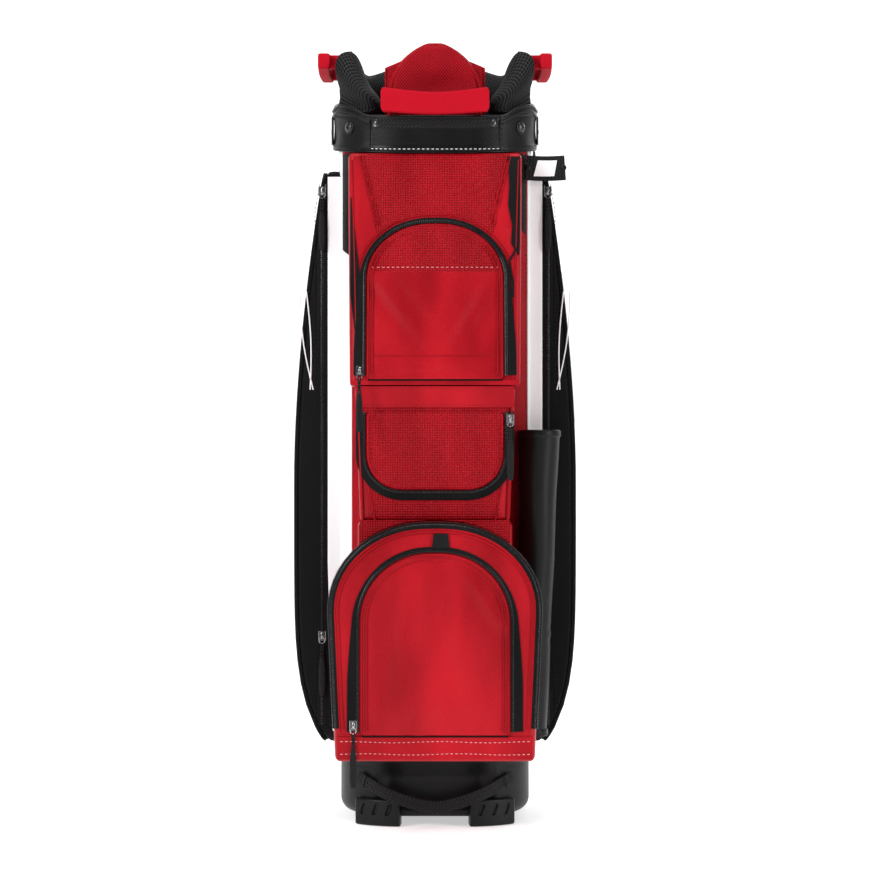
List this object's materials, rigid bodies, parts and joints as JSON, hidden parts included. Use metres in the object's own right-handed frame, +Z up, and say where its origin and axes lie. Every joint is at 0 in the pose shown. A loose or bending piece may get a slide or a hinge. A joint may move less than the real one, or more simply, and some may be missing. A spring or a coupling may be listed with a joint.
{
  "type": "golf cart bag",
  "caption": "Golf cart bag with a moulded base, divided club wells, zipped front and side pockets, umbrella sleeve, lift handles and shoulder strap.",
  "frame": {"origin": "on the floor, under the middle of the bag's outer box", "axes": "+Z up, the pockets face -Y, +X to the right seen from the front"},
  "size_m": [0.328, 0.3566, 0.913],
  "materials": {
    "red_fabric": "matte",
    "white_vinyl": "satin",
    "black_fabric": "matte",
    "black_vinyl": "satin",
    "black_mesh": "matte",
    "red_mesh": "matte",
    "red_plastic": "satin",
    "black_plastic": "satin",
    "black_rubber": "matte",
    "zip_metal": "satin",
    "webbing": "matte",
    "grey_lining": "matte"
  },
  "bodies": {
    "root": {"front_body_panel": "red_fabric", "upper_pocket_body": "red_fabric", "middle_pocket_body": "red_fabric", "left_body_panel": "white_vinyl", "right_body_panel": "white_vinyl", "back_body_panel": "black_fabric", "ball_pocket_body": "black_fabric", "left_pocket_body": "black_fabric", "right_pocket_body": "black_fabric", "collar": "black_vinyl", "umbrella_sleeve": "black_vinyl", "rim_pad": "black_mesh", "front_mesh_dome": "red_mesh", "front_lift_handle": "red_plastic", "rear_lift_handle": "red_plastic", "left_lift_handle": "red_plastic", "right_lift_handle": "red_plastic", "base_cup": "black_plastic", "upper_strap_anchor": "black_plastic", "lower_strap_anchor": "black_plastic", "front_left_foot": "black_rubber", "front_right_foot": "black_rubber", "rear_left_foot": "black_rubber", "rear_right_foot": "black_rubber", "cross_divider_1": "grey_lining", "cross_divider_2": "grey_lining", "cross_divider_3": "grey_lining", "row_1_divider_1": "grey_lining", "row_1_divider_2": "grey_lining", "row_2_divider_1": "grey_lining", "row_2_divider_2": "grey_lining", "row_2_divider_3": "grey_lining", "row_3_divider_1": "grey_lining", "row_3_divider_2": "grey_lining", "row_3_divider_3": "grey_lining", "row_4_divider_1": "grey_lining", "row_4_divider_2": "grey_lining"},
    "upper_flap": {"upper_pocket_flap": "red_fabric"},
    "middle_flap": {"middle_pocket_flap": "red_fabric"},
    "ball_compartment": {"ball_pocket_front": "red_fabric"},
    "ball_panel": {"ball_pocket_panel": "red_fabric"},
    "left_panel": {"left_pocket_panel": "black_fabric"},
    "right_panel": {"right_pocket_panel": "black_fabric"},
    "grab_handle": {"base_grab_handle": "webbing"},
    "umbrella_strap": {"umbrella_strap": "webbing"},
    "towel_ring": {"towel_ring": "zip_metal"},
    "shoulder_strap": {"shoulder_strap": "webbing", "shoulder_pad": "black_mesh"},
    "upper_pocket_slider": {"upper_pocket_zip_slider": "zip_metal"},
    "upper_pocket_pull": {"upper_pocket_zip_pull": "black_rubber"},
    "middle_pocket_slider": {"middle_pocket_zip_slider": "zip_metal"},
    "middle_pocket_pull": {"middle_pocket_zip_pull": "black_rubber"},
    "ball_pocket_slider": {"ball_pocket_zip_slider": "zip_metal"},
    "ball_pocket_pull": {"ball_pocket_zip_pull": "black_rubber"},
    "left_pocket_top_slider": {"left_pocket_top_zip_slider": "zip_metal"},
    "left_pocket_top_pull": {"left_pocket_top_zip_pull": "black_rubber"},
    "left_pocket_low_slider": {"left_pocket_low_zip_slider": "zip_metal"},
    "left_pocket_low_pull": {"left_pocket_low_zip_pull": "black_rubber"},
    "right_pocket_top_slider": {"right_pocket_top_zip_slider": "zip_metal"},
    "right_pocket_top_pull": {"right_pocket_top_zip_pull": "black_rubber"}
  },
  "joints": [
    {"name": "upper_flap_fold", "type": "hinge", "parent": "root", "child": "upper_flap", "pos_m": [0, -0.13719, 0.5125], "axis": [1, 0, 0], "range_deg": [0, 80]},
    {"name": "middle_flap_lift", "type": "hinge", "parent": "root", "child": "middle_flap", "pos_m": [0, -0.13638, 0.476], "axis": [-1, 0, 0], "range_deg": [0, 75]},
    {"name": "ball_compartment_tip", "type": "hinge", "parent": "root", "child": "ball_compartment", "pos_m": [0, -0.1198, 0.0855], "axis": [1, 0, 0], "range_deg": [0, 30]},
    {"name": "ball_panel_fold", "type": "hinge", "parent": "ball_compartment", "child": "ball_panel", "pos_m": [0, -0.17621, 0.1145], "axis": [1, 0, 0], "range_deg": [0, 80]},
    {"name": "left_panel_swing", "type": "hinge", "parent": "root", "child": "left_panel", "pos_m": [-0.164, 0.1085, 0.4], "axis": [0, 0, -1], "range_deg": [0, 35]},
    {"name": "right_panel_swing", "type": "hinge", "parent": "root", "child": "right_panel", "pos_m": [0.164, 0.1085, 0.4], "axis": [0, 0, 1], "range_deg": [0, 35]},
    {"name": "upper_pocket_zip", "type": "slide", "parent": "root", "child": "upper_pocket_slider", "axis": [0, 0.164, 0.9865], "range_m": [0, 0.1]},
    {"name": "upper_pocket_pull_swing", "type": "hinge", "parent": "upper_pocket_slider", "child": "upper_pocket_pull", "pos_m": [-0.085, -0.13889, 0.521], "axis": [-1, 0, 0], "range_deg": [0, 90]},
    {"name": "middle_pocket_zip", "type": "slide", "parent": "root", "child": "middle_pocket_slider", "axis": [0, 0.065, -0.9979], "range_m": [0, 0.035]},
    {"name": "middle_pocket_pull_swing", "type": "hinge", "parent": "middle_pocket_slider", "child": "middle_pocket_pull", "pos_m": [0.085, -0.13855, 0.467], "axis": [-1, 0, 0], "range_deg": [0, 90]},
    {"name": "ball_pocket_zip", "type": "slide", "parent": "ball_compartment", "child": "ball_pocket_slider", "axis": [0, 0.0376, 0.9993], "range_m": [0, 0.1]},
    {"name": "ball_pocket_pull_swing", "type": "hinge", "parent": "ball_pocket_slider", "child": "ball_pocket_pull", "pos_m": [-0.091, -0.1783, 0.125], "axis": [-1, 0, 0], "range_deg": [0, 90]},
    {"name": "left_pocket_top_zip", "type": "slide", "parent": "root", "child": "left_pocket_top_slider", "axis": [0, 0, -1], "range_m": [0, 0.24]},
    {"name": "left_pocket_top_pull_swing", "type": "hinge", "parent": "left_pocket_top_slider", "child": "left_pocket_top_pull", "pos_m": [-0.132, -0.0356, 0.734], "axis": [-1, 0, 0], "range_deg": [0, 90]},
    {"name": "left_pocket_low_zip", "type": "slide", "parent": "root", "child": "left_pocket_low_slider", "axis": [0, 0, 1], "range_m": [0, 0.19]},
    {"name": "left_pocket_low_pull_swing", "type": "hinge", "parent": "left_pocket_low_slider", "child": "left_pocket_low_pull", "pos_m": [-0.132, -0.0356, 0.214], "axis": [-1, 0, 0], "range_deg": [0, 90]},
    {"name": "right_pocket_top_zip", "type": "slide", "parent": "root", "child": "right_pocket_top_slider", "axis": [0, 0, -1], "range_m": [0, 0.26]},
    {"name": "right_pocket_top_pull_swing", "type": "hinge", "parent": "right_pocket_top_slider", "child": "right_pocket_top_pull", "pos_m": [0.132, -0.0356, 0.734], "axis": [-1, 0, 0], "range_deg": [0, 90]},
    {"name": "grab_handle_swing", "type": "hinge", "parent": "root", "child": "grab_handle", "pos_m": [0, -0.06302, 0.061], "axis": [-1, 0, 0], "range_deg": [0, 50]},
    {"name": "umbrella_strap_swing", "type": "hinge", "parent": "root", "child": "umbrella_strap", "pos_m": [0.10619, -0.042, 0.747], "axis": [0, 0, -1], "range_deg": [0, 60]},
    {"name": "towel_ring_swing", "type": "hinge", "parent": "root", "child": "towel_ring", "pos_m": [0.11646, -0.018, 0.782], "axis": [0, -1, 0], "range_deg": [0, 80]},
    {"name": "shoulder_strap_swing", "type": "hinge", "parent": "root", "child": "shoulder_strap", "pos_m": [0, 0.1545, 0.51], "axis": [0, 0, 1], "range_deg": [-25, 25]}
  ]
}
